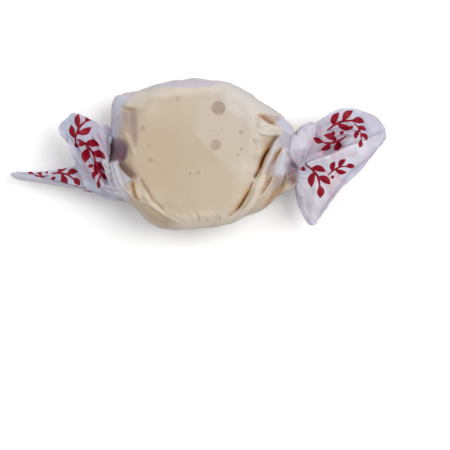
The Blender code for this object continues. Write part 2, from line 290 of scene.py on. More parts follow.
# Painted highlight: where the paper is lit brightest, on ridges, turned edges and paper that stands off.
PATCHES["light"] = (
    (40, 8, (-113, -52, -107, -55, -99, -78, -89, -98, -97, -103, -108, -97, -115, -78)),
    (85, 8, (-145, -73, -134, -65, -129, -73, -123, -90, -127, -92)),
    (50, 10, (191, 6, 206, 13, 216, 11, 216, -6, 204, -23, 199, -44, 174, -44, 181, -23, 187, -4)),
    (40, 8, (149, -8, 159, 2, 166, 11, 174, 15, 172, 4, 165, -11, 156, -27, 150, -42, 142, -50, 141, -40,
     145, -23)),
    (45, 12, (221, 46, 235, 63, 248, 67, 262, 63, 258, 40, 252, 23, 241, 6, 225, 8, 210, 4, 206, 25)),
    (45, 20, (368, 25, 374, 15, 357, -6, 325, -40, 298, -78, 271, -124, 256, -145, 244, -141, 231, -107,
     227, -69, 237, -40, 262, -19, 309, 2, 346, 15)),
    (80, 8, (-195, -15, -168, -13, -155, -19, -141, -40, -132, -59, -145, -73, -139, -94, -155, -92,
     -176, -73, -189, -44)),
    (85, 8, (139, -52, 147, -45, 153, -50, 149, -65, 141, -86, 129, -107, 113, -127, 96, -141, 99, -128,
     115, -108, 126, -90, 132, -69)),
    (30, 20, (99, -15, 120, -11, 128, -36, 118, -63, 107, -90, 90, -113, 76, -111, 94, -78, 101, -46)),
    (10, 40, (25, -25, 99, -25, 113, -57, 99, -99, 67, -124, 25, -124, 4, -88)),
    (35, 15, (-168, 115, -153, 130, -128, 134, -137, 115, -151, 105, -164, 103)),
    (42, 12, (*FAR_EDGE, 59, 122, 49, 124, 15, 122, -21, 118, -69, 113, -111, 109, -130, 105)),
    (60, 12, (-139, 109, -130, 117, -120, 125, -99, 128, -90, 120, -92, 103, -101, 91, -113, 92, -130, 93,
     -143, 98)),
    (85, 26, (-44, -145, -27, -139, -6, -132, 15, -128, 46, -126, 73, -122, 90, -118, 105, -124, 84, -143,
     46, -155, 15, -162, -15, -164, -40, -158)),
    (50, 8, (-103, -82, -90, -86, -76, -105, -57, -126, -69, -124, -90, -105)),
)
# Painted glow where light comes through the paper and the taffy, and painted shade under the notch in the
# upper left corner.
PATCHES["tan"] = (
    (55, 8, (146, 27, 153, 30, 168, 34, 174, 31, 170, 21, 163, 11, 153, -2, 145, -8, 146, 8)),
    (60, 7, (183, 14, 189, 15, 181, -2, 172, -17, 165, -31, 161, -48, 153, -65, 150, -59, 154, -40, 162, -21,
     170, -2)),
    (90, 11, (195, -44, 191, -59, 176, -73, 162, -90, 149, -109, 153, -114, 168, -105, 185, -88, 193, -73,
     197, -59)),
    (60, 8, (204, -52, 216, -52, 216, -63, 206, -66)),
    (95, 7, (135, 77, 145, 78, 155, 75, 165, 68, 174, 57, 164, 59, 151, 66, 141, 70)),
    (30, 9, (153, 78, 181, 77, 176, 66, 168, 63)),
    (40, 15, FINGER_GLOW),
    (30, 8, (-111, -55, -104, -63, -94, -80, -101, -80, -109, -71)),
    (50, 5, (-153, 99, -141, 94, -130, 92, -117, 91, -120, 87, -130, 85, -141, 89)),
    (30, 14, (-147, 87, -130, 85, -117, 89, -114, 69, -114, 40, -117, 11, -123, 15, -131, 38, -141, 61)),
    (20, 15, (-90, -115, -63, -128, -44, -141, -21, -153, -48, -158, -73, -149, -90, -132)),
    (10, 50, (-111, 80, -59, 59, -31, 6, -31, -46, -59, -78, -90, -67, -109, -25, -113, 27)),
    (8, 20, (221, -69, 241, -65, 288, -90, 271, -124, 254, -145, 237, -132, 223, -103)),
)
PATCHES["amber"] = (
    (75, 9, (-127, -60, -120, -60, -118, -73, -115, -86, -111, -100, -120, -90, -127, -76)),
)
# Where the paper is shaded.
PATCHES["umber"] = (
    (15, 14, (166, -55, 187, -48, 185, -65, 174, -76, 162, -82)),
    (75, 11, (-153, -18, -145, -20, -134, -29, -124, -38, -115, -48, -118, -54, -123, -55, -130, -47,
     -141, -38, -151, -28)),
    (85, 19, (196, -40, 204, -21, 218, -21, 221, -55, 216, -66, 207, -62, 197, -59)),
    (30, 8, (153, -31, 166, -17, 172, -23, 168, -46, 151, -46)),
)
PATCHES["mauve"] = (
    (30, 9, (137, 77, 149, 79, 166, 79, 184, 77, 182, 67, 171, 61, 153, 68, 141, 72)),
    (18, 15, FINGER_GLOW),
    (20, 20, (-172, 73, -149, 78, -145, 48, -153, 34, -174, 40)),
    (34, 13, (-147, 88, -130, 86, -117, 90, -114, 69, -114, 40, -117, 8, -123, 15, -131, 38, -141, 61)),
    (45, 15, (208, 6, 225, 2, 237, -6, 231, -21, 223, -29, 212, -17)),
    (55, 15, (201, -15, 221, -21, 221, -42, 199, -42, 195, -29)),
    (25, 10, (177, 35, 187, 38, 199, 33, 204, 21, 197, 9, 185, 15, 176, 21)),
    (30, 10, (189, 46, 202, 40, 214, 40, 204, 29, 191, 25)),
    (32, 16, (168, -48, 189, -47, 186, -65, 170, -78)),
    (100, 9, (-199, -21, -193, -27, -187, -48, -183, -69, -193, -57, -202, -40)),
    (35, 8, (-187, -69, -174, -90, -189, -86, -199, -69)),
    (26, 15, (-237, 86, -204, 78, -176, 61, -176, 27, -195, -11, -202, -40, -221, -46, -237, -36, -250, -11,
     -246, 27)),
    (22, 20, (262, 40, 279, 65, 319, 86, 344, 73, 344, 48, 319, 15, 279, -2, 258, 2)),
    (18, 12, (363, 55, 389, 59, 399, 46, 391, 31, 378, 21, 363, 29)),
    (25, 20, (363, 94, 389, 86, 399, 71, 393, 55, 376, 44, 363, 34, 346, 25, 351, 52, 355, 78)),
    (30, 8, (399, 46, 414, 61, 414, 27, 395, 6, 384, -6, 391, 15)),
)
PATCHES["slate"] = (
    (30, 12, (-283, 52, -267, 78, -250, 86, -246, 52, -239, 17, -225, -27, -204, -78, -229, -82, -246, -15,
     -262, 27)),
    (45, 10, (-389, -40, -355, -36, -325, -42, -279, -48, -275, -69, -330, -65, -384, -57)),
)

# Painted shade, glow and highlight along lines: (strength in percent, left width, right width, line).
STREAKS = {}
# Painted shade: the dark cores of the creases.
STREAKS["brown"] = (
    (70, 3.5, 6, (167, 21, 162, 15, 156, 6, 151, -6, 144, -21, 139, -34, 134, -46, 126, -60)),
    (92, 5, 9.5, (163, 16, 158, 6, 151, -6, 145, -20, 141, -33, 137, -42)),
    (45, 3, 6, (129, -52, 125, -63, 120, -73, 114, -85, 109, -96, 101, -107, 93, -117, 84, -126)),
    (82, 2.5, 7, (120, -73, 113, -88, 105, -102, 97, -113, 86, -124)),
    (60, 5, 4, (189, 14, 183, 5, 175, -4, 169, -16, 165, -26)),
    (90, 1, 2.4, (-154, -15, -151, -27, -140, -38, -130, -49, -122, -57)),
    (30, 1.5, 4, (-123, -57, -122, -71, -119, -86, -112, -101)),
    (50, 3, 3, (144, 73, 149, 69, 155, 65, 163, 61)),
    (35, 3, 2, (185, 38, 176, 35, 168, 33)),
    (30, 1.5, 3.5, (-145, 94, -134, 90, -124, 89, -118, 90)),
)
STREAKS["umber"] = (
    (60, 3, 9, (185, 37, 176, 33, 169, 27, 163, 17, 155, 6)),
    (95, 4, 7.5, (-154, -13, -151, -27, -141, -39, -130, -49, -122, -58)),
    (60, 6, 5, (141, 75, 146, 71, 153, 66, 161, 61, 168, 58)),
    (80, 6, 6, (-155, -8, -153, -19, -148, -28, -141, -37)),
)
# Painted glow beside them, and painted shade in small creases.
STREAKS["tan"] = (
    (85, 4, 11, (163, 29, 158, 17, 152, 5, 146, -8)),
    (50, 3, 10, (189, 38, 175, 29, 162, 12, 151, -7, 144, -23, 138, -39, 126, -60)),
    (100, 10, 4, (138, 78, 146, 72, 153, 67, 161, 63, 170, 58)),
    (65, 4.5, 2, (-109, -52, -102, -68, -92, -84, -82, -100, -69, -111, -55, -124)),
    (65, 3, 3, (0, -122, 8, -128, 13, -138, 9, -150)),
    (50, 3, 3, (-15, -126, -7, -133, -9, -143)),
    (45, 3, 3, (21, -128, 27, -135, 38, -139)),
)
STREAKS["amber"] = (
    (55, 10, 2, (163, 6, 153, -11, 146, -27, 140, -44, 132, -57)),
    (50, 3.5, 13, (125, -57, 118, -76, 109, -94, 98, -110, 83, -126, 66, -138)),
    (70, 3, 10, (167, -48, 160, -64, 151, -77, 140, -90)),
    (60, 3.5, 3.5, (-147, 33, -140, 25, -136, 15, -137, 2)),
)
# The shade of pleats and of edges that lie under others.
STREAKS["mauve"] = (
    (30, 1, 16, (*LEAF_EDGE, 233, -25)),
    (35, 6, 5, (82, 146, 111, 131, 141, 113, 166, 94, 189, 76)),
    (60, 2.5, 2.5, (-188, -15, -181, -40, -172, -65, -160, -88)),
    (35, 4, 6, (267, -4, 288, 8, 304, 15, 323, 15)),
    (30, 5, 5, (290, 21, 300, 31, 317, 36, 336, 34)),
    (30, 5, 6, (279, 42, 304, 50, 330, 48, 355, 40)),
    (45, 5, 3, (262, 63, 260, 42, 252, 17, 239, -6, 227, -27)),
    (35, 13, 2, LEAF_CREASE),
)
STREAKS["slate"] = (
    (34, 10, 30, (69, 148, 99, 140, 120, 128, 145, 111, 166, 97, 189, 78)),
    (50, 5, 9, (395, 67, 404, 55, 406, 42, 401, 27, 391, 13, 378, -2)),
)
# Painted highlights along the bright, lit edges.
STREAKS["light"] = (
    (30, 9, 3, (-117, -56, -105, -73, -90, -92, -71, -108, -52, -120, -34, -126)),
    (35, 4, 9, (125, 46, 121, 27, 120, 2, 123, -21, 126, -40)),
    (70, 3, 3, (170, -46, 162, -64, 153, -80, 141, -93, 124, -103)),
    (60, 3, 3, (-121, -67, -121, -56, -114, -49)),
    (60, 6, 4, (-99, -90, -86, -103, -73, -112, -59, -129)),
    (60, 3, 2, (-145, -73, -126, -93, -111, -105)),
    (50, 1.5, 5, (-155, -15, -152, -27, -143, -38, -132, -48)),
    (50, 2.5, 2.5, (191, 15, 183, -11, 176, -36)),
    (50, 2.5, 2.5, (199, -11, 198, -31, 195, -52)),
    (80, 7, 11, (222, -40, 219, -57, 221, -76, 225, -97, 232, -118, 241, -137)),
    (100, 12, 3.5, (*LEAF_EDGE[2:], 233, -25)),
    (80, 5, 5, (-195, -8, -187, -31, -178, -57, -164, -88)),
    (80, 4, 4, (-174, -15, -170, -38, -162, -65, -151, -86)),
    (60, 3, 4, (258, 2, 279, 17, 304, 25, 330, 27)),
    (50, 4, 4, (271, 61, 296, 69, 321, 69, 344, 57)),
)

# Where the back stands clear of the tablet, how much of that shows, and how quickly a fan turns bare.
TABLET_RADIUS = 12.5
TABLET_EDGE = 2
BACK_BARE = 0.4
FAN_BARE_START = 20

# The edge of the second layer of paper across the face, how soft it is at its start and how much softer at
# its end, and where it fades out.
LAYER_EDGE = (-32, 86, -2, 47, 36, 4, 78, -38, 93, -53, 124, -74)
LAYER_SOFTNESS = 0.35
LAYER_SOFTENING = 3
LAYER_FADE_FROM = -1.5
LAYER_FADE = 3.5
# Between which places in y the face turns cooler towards its far side, and by how much of the second layer.
COOLER_FROM = 2.5
COOLER_TO = 8.5
COOLER_SHARE = 0.45

# Bubbles of the taffy that show through the paper: (x, y, radius, strength), and how soft and wide they show.
BUBBLES = (
    (5.35, 9, 1.4, 0.95), (4.8, 1.4, 1.1, 0.75), (10, 4.05, 0.45, 0.7), (-10.15, 4.8, 0.55, 0.6),
    (-8.65, -1.7, 0.5, 0.65), (-2.95, 10.9, 0.5, 0.55), (-8.8, 1.35, 0.26, 0.6), (-3.1, 0.7, 0.2, 0.2),
    (10, 0.5, 0.24, 0.95), (9.35, -0.7, 0.28, 0.8), (-6.65, -4, 0.24, 0.55), (-0.5, -4.5, 0.32, 0.7),
    (1.25, -4.35, 0.32, 0.85), (6.1, 4.4, 0.22, 0.6), (4.4, 4.45, 0.2, 0.45), (-1, -9.4, 0.22, 0.25),
    (6.9, -10.3, 0.28, 0.3), (3.1, -14.2, 0.3, 0.55), (5.6, -13.6, 0.3, 0.5), (4.4, 13, 0.3, 0.2),
    (11.6, -7.1, 0.28, 0.25),
)
BUBBLE_SOFTNESS = 0.28
BUBBLE_SPREAD = 0.6

# The print: sprigs of leaves, as (x, y, turn in degrees, size), and the strokes of one about its own middle,
# as (start width, middle width, end width, line).
SPRIGS = (
    (31.2, 6.5, 20, 1.15), (29.4, 2.4, 190, 1), (35, 4.4, -70, 0.75), (25.9, -4.6, -60, 1.15),
    (30.4, -3.2, 25, 0.85), (-23.9, 4.8, 65, 1.1), (-21.7, 0.6, -55, 1.15), (-19.9, -4, -75, 0.8),
    (-27.6, -4.3, -15, 1), (-33.2, -4.6, 170, 0.7),
)
SPRIG = (
    (3, 4.5, 3, (-28, -5, -12, 0, 6, 1, 22, -4)),
    (3, 13, 1, (20, -4, 30, -7, 40, -14)),
    (3, 13, 1, (-15, 0, -9, 11, 3, 19)),
    (3, 13, 1, (5, 2, 15, 10, 28, 13)),
    (3, 13, 1, (-6, 0, 2, -11, 15, -18)),
    (8, 8, 8, (-22, -15, -21, -14.5)),
)
# How far the print shifts for each millimetre that a fold lifts it and at the back, how far out on a fan it
# starts, how level the paper is under it, and the distance that stands for no print.
PRINT_SHIFT = 0.25
BACK_PRINT_SHIFT = 3.2
PRINT_START = 0.002
PRINT_LEVEL = 0.35
UNPRINTED = 5.0


def linear(red, green, blue):
    """A display colour, 0 to 255, as linear light."""
    return tuple(
        part / 12.92 if part <= 0.04045 else ((part + 0.055) / 1.055) ** 2.4
        for part in (red / 255, green / 255, blue / 255)
    )


PAPER_COOL = linear(188, 191, 208)
PAPER_WARM = linear(193, 187, 200)
# painted highlight on bare paper
PAPER_PAINTED_HIGHLIGHT = linear(214, 211, 218)
PAPER_ON_TAFFY = linear(196, 180, 158)
PAPER_ON_SLOPE = linear(206, 199, 191)
# painted highlight on the paper over the taffy
TAFFY_PAINTED_HIGHLIGHT = linear(220, 209, 195)
SECOND_LAYER = linear(203, 190, 175)
CLOUD_SHADE = linear(184, 166, 142)
BUBBLE_SHADE = linear(167, 149, 137)
# painted glow of light that comes through the paper and the taffy
GLOW_AMBER = linear(194, 144, 92)
# painted shade in the cores of the creases
CREASE_SHADE = linear(72, 24, 6)
# painted shade in the hollow at the upper left, from its top to its deepest part
POCKET_TOP_SHADE = linear(174, 156, 172)
POCKET_DEEP_SHADE = linear(134, 102, 116)
PRINT_RED = linear(132, 0, 30)
PRINT_FAINT = linear(200, 150, 168)
TAFFY_PALE = linear(204, 186, 158)
TAFFY_DARK = linear(188, 166, 136)
FLOOR_WHITE = (0.94, 0.94, 0.94)
# Painted glow and painted shade laid over the paper, the first one lowest: glow in tan and amber, shade in
# umber, slate and mauve.
OVERLAYS = (
    ("tan", linear(176, 140, 104)),
    ("amber", GLOW_AMBER),
    ("umber", linear(126, 94, 84)),
    ("slate", linear(152, 166, 184)),
    ("mauve", linear(140, 116, 136)),
)

# How much coarse grain the paper has beside its fibre, and how much light comes through it.
GRAIN_SHARE = 1.5
TRANSLUCENCY = 0.22

# The floor's half width, in metres, and the brightness of the white world.
FLOOR_HALF = 0.6
WORLD_STRENGTH = 0.58

# The camera: its lens and sensor, the height at which the photograph's scale holds, and its clip distances.
LENS = 85
SENSOR_WIDTH = 36
SCALE_HEIGHT = 10
CLIP = (0.01, 10)


def at_shares(line, shares):
    """Points at the given shares of a line's length."""
    lengths = np.append(0, np.cumsum(np.linalg.norm(np.diff(line, axis=0), axis=1)))
    wanted = np.asarray(shares) * lengths[-1]
    return np.stack([np.interp(wanted, lengths, part) for part in line.T], axis=-1)


def curve_through(points, shares):
    """Points at the given shares of the length of a smooth curve through the given points."""
    known = np.array(points, float)
    padded = np.vstack([2 * known[0] - known[1], known, 2 * known[-1] - known[-2]])
    before, start, end, after = padded[:-3], padded[1:-2], padded[2:-1], padded[3:]
    steps = []
    for step in range(CURVE_STEPS):
        t = step / CURVE_STEPS
        steps.append(
            start + (end - before) * t / 2
            + (2 * before - 5 * start + 4 * end - after) * t**2 / 2
            + (3 * start - before - 3 * end + after) * t**3 / 2
        )
    line = np.vstack([np.stack(steps, axis=1).reshape(-1, known.shape[1]), known[-1:]])
    return at_shares(line, shares)


def drawn(line, numbers=2):
    """The points of a drawn line or outline, in millimetres, each of so many numbers."""
    return np.reshape(line, (-1, numbers)) / TENTHS_PER_MM


def lesser(a, b, blend):
    """The lesser of two heights, with a rounded corner between them where they are closer than the blend."""
    overlap = np.clip(blend - np.abs(a - b), 0, None) / blend
    return np.minimum(a, b) - overlap**2 * blend / 4


def smooth_step(value):
    """From 0, where the value is at or under 0, smoothly to 1, from 1 on."""
    value = np.clip(value, 0, 1)
    return value * value * (3 - 2 * value)


def zigzag(phase):
    """Straight slopes from 1 down to -1 and up again, once for each whole step of the phase."""
    return 4 * np.abs(phase % 1 - 0.5) - 1


def nearest_on(line, flat):
    """Each point's distance to a line, side of it (positive left) and share of the way, and its length."""
    start, along = line[:-1], np.diff(line, axis=0)
    lengths = np.linalg.norm(along, axis=1)
    travelled = np.append(0, np.cumsum(lengths))
    best = np.full(flat.shape[:-1], np.inf)
    side = np.zeros(flat.shape[:-1])
    way = np.zeros(flat.shape[:-1])
    for k in range(len(along)):
        offset = flat - start[k]
        share = np.clip((offset @ along[k]) / lengths[k] ** 2, 0, 1)
        away = offset - share[..., None] * along[k]
        distance = np.hypot(away[..., 0], away[..., 1])
        closer = distance < best
        best = np.where(closer, distance, best)
        side = np.where(closer, along[k][0] * offset[..., 1] - along[k][1] * offset[..., 0], side)
        way = np.where(closer, travelled[k] + share * lengths[k], way)
    return best, side, way / travelled[-1], travelled[-1]


def near_line(line, flat, reach):
    """Whether each point is within reach of the box round a line."""
    low, high = line.min(0) - reach, line.max(0) + reach
    return ((flat > low) & (flat < high)).all(-1)


def within(outline, flat):
    """Signed distance to a closed smooth outline: positive inside, and -OUTLINE_REACH well away from it."""
    corners = drawn(outline)
    places = np.linspace(0, 1, OUTLINE_STEPS * len(corners))
    line = curve_through(np.vstack([corners, corners[:1]]), places)
    result = np.full(flat.shape[:-1], -float(OUTLINE_REACH))
    near = near_line(line, flat, OUTLINE_REACH)
    points = flat[near]
    distance = nearest_on(line, points)[0]
    inside = np.zeros(len(points), bool)
    for (x0, y0), (x1, y1) in zip(line[:-1], line[1:]):
        if y0 != y1:
            crosses = (y0 > points[:, 1]) != (y1 > points[:, 1])
            inside ^= crosses & (points[:, 0] < x0 + (points[:, 1] - y0) * (x1 - x0) / (y1 - y0))
    result[near] = np.where(inside, distance, -distance)
    return result


def profile_along(drawn_line, left_width, right_width, flat):
    """Which points are near a line, and how close they are: 1 on it, and 0 past its width on either side."""
    points = drawn(drawn_line)
    near = near_line(points, flat, LINE_REACH + max(left_width, right_width) / TENTHS_PER_MM)
    line = curve_through(points, np.linspace(0, 1, LINE_STEPS * len(points)))
    distance, side, share, length = nearest_on(line, flat[near])
    fullness = LINE_END_WIDTH + (1 - LINE_END_WIDTH) * np.sin(math.pi * share) ** LINE_ROUNDNESS
    width = np.where(side > 0, left_width, right_width) / TENTHS_PER_MM * fullness
    ends = smooth_step(np.minimum(share, 1 - share) * length / LINE_END)
    return near, np.clip(1 - distance / width, 0, 1) * ends


def fold_height(flat):
    """How far the folds raise each point of the upper side."""
    height = np.zeros(flat.shape[:-1])
    for rise, left_width, right_width, line in FOLDS:
        near, profile = profile_along(line, left_width, right_width, flat)
        height[near] += rise / TENTHS_PER_MM * profile
    return height


def shade_fields(flat):
    """How much of each colour there is at each point of the upper side."""
    shades = {name: np.zeros(flat.shape[:-1]) for name in (*PATCHES, *STREAKS)}
    for name, patches in PATCHES.items():
        for percent, softness, outline in patches:
            inside = smooth_step(within(outline, flat) / (softness / TENTHS_PER_MM) + 0.5)
            shades[name] = np.maximum(shades[name], percent / 100 * inside)
    for name, streaks in STREAKS.items():
        for percent, left_width, right_width, line in streaks:
            near, profile = profile_along(line, left_width, right_width, flat)
            along = percent / 100 * smooth_step(profile)
            shades[name][near] = np.maximum(shades[name][near], along)
    return shades


def crumple_field(flat, seed, runs, size, height):
    """Flat facets with sharp creases between them, as in crumpled paper, as a height for each point."""
    draw = np.random.default_rng(seed)
    total = np.zeros(flat.shape[:-1])
    for _ in range(runs):
        turn, slant = draw.uniform(0, math.pi, 2)
        wave = size * draw.uniform(*FACET_SIZES)
        along = flat @ (math.cos(turn), math.sin(turn)) / wave
        across = flat @ (-math.sin(turn), math.cos(turn)) / wave
        slanted = flat @ (math.cos(slant), math.sin(slant)) / wave
        patch = np.sin(slanted * PATCH_WAVES + draw.uniform(0, math.tau))
        sway = CREASE_SWAY * np.sin(across * CREASE_SWAYS + draw.uniform(0, math.tau))
        place = along + sway + draw.uniform()
        total += height * wave / size * zigzag(place) * smooth_step(PATCH_COVER + PATCH_CONTRAST * patch)
    return total


def evenly_spread(halves, count):
    """Each half ring, from its first point to just before its last, resampled at even lengths."""
    shares = np.linspace(0, 1, count + 1)[:-1]
    return np.array([at_shares(half, shares) for half in halves])


def body_base():
    """The wrapper over the tablet before its folds, as rings of (x, y, z, lift), and the rings' middles."""
    places = np.linspace(0, 1, BODY_RINGS)
    top, bottom = (curve_through(drawn(rail), places) for rail in (TOP_RAIL, BOTTOM_RAIL))
    middle, half = (top + bottom) / 2, (top - bottom) / 2
    power = (2 + (SECTION_POWER - 2) * np.sqrt(np.sin(np.pi * places)))[:, None]
    turns = np.linspace(0, 1, 2 * SECTION_SAMPLES + 1)
    across, lift = np.cos(2 * np.pi * turns), np.sin(2 * np.pi * turns)
    across = np.sign(across) * np.abs(across) ** (2 / power)
    lift = np.sign(lift) * np.abs(lift) ** (2 / power)
    flat = middle[:, None] + half[:, None] * across[..., None]

    to_right = flat[..., 0] > 0
    reach = np.where(to_right, middle[-1, 0], middle[0, 0])
    fullness = np.where(to_right, FULLNESS_RIGHT, FULLNESS_LEFT)
    share = np.clip(1 - np.clip(flat[..., 0] / reach, 0, 1) ** fullness, 0, 1) ** BULGE_FALL
    height = (WAIST_HALF_HEIGHT + (MIDDLE_BULGE - WAIST_HALF_HEIGHT) * share) * lift
    height = np.sign(height) * lesser(np.abs(height), HALF_THICKNESS, FACE_BLEND)
    rings = np.concatenate([flat, (HALF_THICKNESS + height)[..., None], lift[..., None]], axis=-1)
    upper = evenly_spread(rings[:, : SECTION_SAMPLES + 1], UPPER_POINTS)
    lower = evenly_spread(rings[:, SECTION_SAMPLES:], LOWER_POINTS)
    return np.concatenate([upper, lower], axis=1), middle


def gather_push(turns, past_waist):
    """How far the gathers of a waist push each point out, by its turn and its distance past the waist."""
    calm = 1 - UPPER_CALM * smooth_step(np.minimum(turns, 0.5 - turns) / UPPER_CALM_TURN)
    back = smooth_step((np.abs(turns - 0.25) - 0.25) / BACK_TURN)
    total = 0
    for count, depth, reach, slant in GATHERS:
        sway = GATHER_SWAY * np.sin(GATHER_SWAYS * math.tau * turns + past_waist * GATHER_DRIFT)
        phase = (turns + past_waist * slant + sway) * count
        fade = smooth_step(1 - np.abs(past_waist) / (reach * (1 + (BACK_REACH - 1) * back)))
        total = total + depth * zigzag(phase) * fade
    phase = (turns + past_waist * TUCK_SLANT + TUCK_SWAY * np.sin(TUCK_SWAYS * math.tau * turns)) * TUCKS
    tuck = np.clip(1 - np.abs(phase % 1 - 0.5) / TUCK_WIDTH, 0, 1)
    return (total - TUCK_DEPTH * tuck * smooth_step(1 - np.abs(past_waist) / TUCK_REACH)) * calm


def gather(rings, waist, past_waist, turns, share=1.0):
    """Rings near a waist, whose middle is given, pushed in and out by a share of its gathers."""
    outwards = rings - waist
    outwards[..., 0] = 0
    outwards /= np.linalg.norm(outwards, axis=-1, keepdims=True)
    return rings + (share * gather_push(turns, past_waist))[..., None] * outwards


def inner_pleats(ring, waist, outward):
    """Rings from a waist's ring to the line where the twisted paper meets inside it."""
    turns = np.arange(len(ring)) / len(ring)
    wave = zigzag(turns * INNER_PLEATS + INNER_SWAY * np.sin(INNER_SWAYS * math.tau * turns))
    rings = []
    for share in np.linspace(0, 1, INNER_RINGS):
        inwards = waist + (ring - waist) * (1 - share, 1 - share * (1 - INNER_LINE), 1 - share)
        waved = INNER_PLEAT_DEPTH * math.sin(math.pi * share) * wave
        inwards[:, 0] += outward * (waved - INNER_DEPTH * share)
        rings.append(inwards)
    return np.array(rings)


def rim(upper, lower, turns, seed):
    """The cut edge of a fan at each turn: the upper layer for half a turn and the lower one for the rest."""
    edge = np.where(
        (turns < 0.5)[:, None],
        curve_through(drawn(upper, 3), np.clip(turns * 2, 0, 1)),
        curve_through(drawn(lower, 3), np.clip(turns * 2 - 1, 0, 1)),
    )
    tatter = np.random.default_rng(seed).uniform(-EDGE_TATTER, EDGE_TATTER, (len(turns), 2))
    edge[:, :2] += (tatter + np.roll(tatter, 1, axis=0) + np.roll(tatter, -1, axis=0)) / 2
    return edge


def fan_rings(waist, edge, turns, outward, top_bend, bottom_bend, count):
    """Rings of points from just past a waist to the cut edge."""
    top = smooth_step(1 - np.minimum(turns, 1 - turns) / BEND_SPREAD)[:, None]
    bottom = smooth_step(1 - np.abs(turns - 0.5) / BEND_SPREAD)[:, None]
    bend = waist + np.array([outward * FAN_BEND, 0, 0]) + top * top_bend + bottom * bottom_bend
    t = (np.arange(1, count + 1) / count)[:, None, None]
    return (1 - t) ** 2 * waist + 2 * t * (1 - t) * bend + t**2 * edge


def print_distance(flat):
    """Signed distance to the nearest stroke of the print: negative inside one, and UNPRINTED far from all."""
    best = np.full(flat.shape[:-1], UNPRINTED)
    for x, y, turn, size in SPRIGS:
        turned = Matrix.Rotation(math.radians(turn), 2) @ Matrix.Scale(size, 2)
        for *widths, stroke in SPRIG:
            start, middle, end = np.array(widths) / TENTHS_PER_MM
            points = drawn(stroke)
            places = np.linspace(0, 1, LINE_STEPS * len(points))
            line = curve_through(points, places) @ np.array(turned).T + (x, y)
            near = near_line(line, flat, STROKE_REACH)
            distance, _, share, _ = nearest_on(line, flat[near])
            ends = start + (end - start) * share
            width = size * (ends + (middle - ends) * np.sin(math.pi * share))
            best[near] = np.minimum(best[near], distance - width / 2)
    return best


def plain_sheet():
    """The sheet before its folds, as rings from the left cut edge to the right one, and its waists' middles.

    Each point's front is 1 on the upper side and 0 on the lower one. Its fan is 0 in the body and 1 at a cut
    edge, and its wall is 1 on the body's side walls.
    """
    upper, lower = np.arange(UPPER_POINTS) / UPPER_POINTS, np.arange(LOWER_POINTS) / LOWER_POINTS
    turns = np.append(upper / 2, 0.5 + lower / 2)
    base, middle = body_base()
    body, lift = base[..., :3], base[..., 3]
    left_edge = rim(LEFT_UPPER_RIM, LEFT_LOWER_RIM, turns, seed=11)
    left = fan_rings(body[0], left_edge, turns, -1, LEFT_TOP_BEND, LEFT_BOTTOM_BEND, LEFT_FAN_RINGS)
    right_edge = rim(RIGHT_UPPER_RIM, RIGHT_LOWER_RIM, turns, seed=21)
    right = fan_rings(body[-1], right_edge, turns, 1, RIGHT_TOP_BEND, RIGHT_BOTTOM_BEND, RIGHT_FAN_RINGS)
    rings = np.concatenate([left[::-1], body, right])
    left_waist, right_waist = (np.append(end, HALF_THICKNESS) for end in middle[[0, -1]])
    rings = gather(rings, left_waist, left_waist[0] - rings[..., 0], turns)
    on_collar = smooth_step(within(COLLAR, rings[..., :2]) + 0.5) * (turns < 0.5)
    share = 1 - (1 - COLLAR_GATHERS) * on_collar
    rings = gather(rings, right_waist, rings[..., 0] - right_waist[0], turns, share)

    front = np.repeat(smooth_step(np.minimum(turns, 0.5 - turns) / FRONT_TURN)[None], len(rings), axis=0)
    front[IN_BODY] = smooth_step(lift / FRONT_LIFT)
    fan = np.zeros(rings.shape[:2])
    fan[:LEFT_FAN_RINGS] = np.linspace(1, 0, LEFT_FAN_RINGS)[:, None]
    fan[-RIGHT_FAN_RINGS:] = np.linspace(0, 1, RIGHT_FAN_RINGS)[:, None]
    wall = np.zeros(rings.shape[:2])
    wall[IN_BODY] = 1 - smooth_step((np.abs(lift) - WALL_LIFT) / WALL_BLEND)
    return rings, (left_waist, right_waist), front, fan, wall


def second_layer(flat):
    """How much the second layer of paper and the cooler far side show on the face."""
    line = curve_through(drawn(LAYER_EDGE), np.linspace(0, 1, LAYER_STEPS))
    distance, side, share, _ = nearest_on(line, flat)
    softness = LAYER_SOFTNESS + LAYER_SOFTENING * share**2
    second = smooth_step(distance * np.sign(side) / softness + 0.5)
    second *= smooth_step((flat[..., 0] - LAYER_FADE_FROM) / LAYER_FADE)
    cooler = COOLER_SHARE * smooth_step((flat[..., 1] - COOLER_FROM) / (COOLER_TO - COOLER_FROM))
    return np.maximum(second, cooler)


def bubble_field(flat):
    """How dark the taffy's bubbles are at each point of the face."""
    bubble = np.zeros(flat.shape[:-1])
    for x, y, radius, strength in BUBBLES:
        inside = radius - np.hypot(flat[..., 0] - x, flat[..., 1] - y)
        bubble = np.maximum(bubble, strength * smooth_step(inside / BUBBLE_SOFTNESS + BUBBLE_SPREAD))
    return bubble


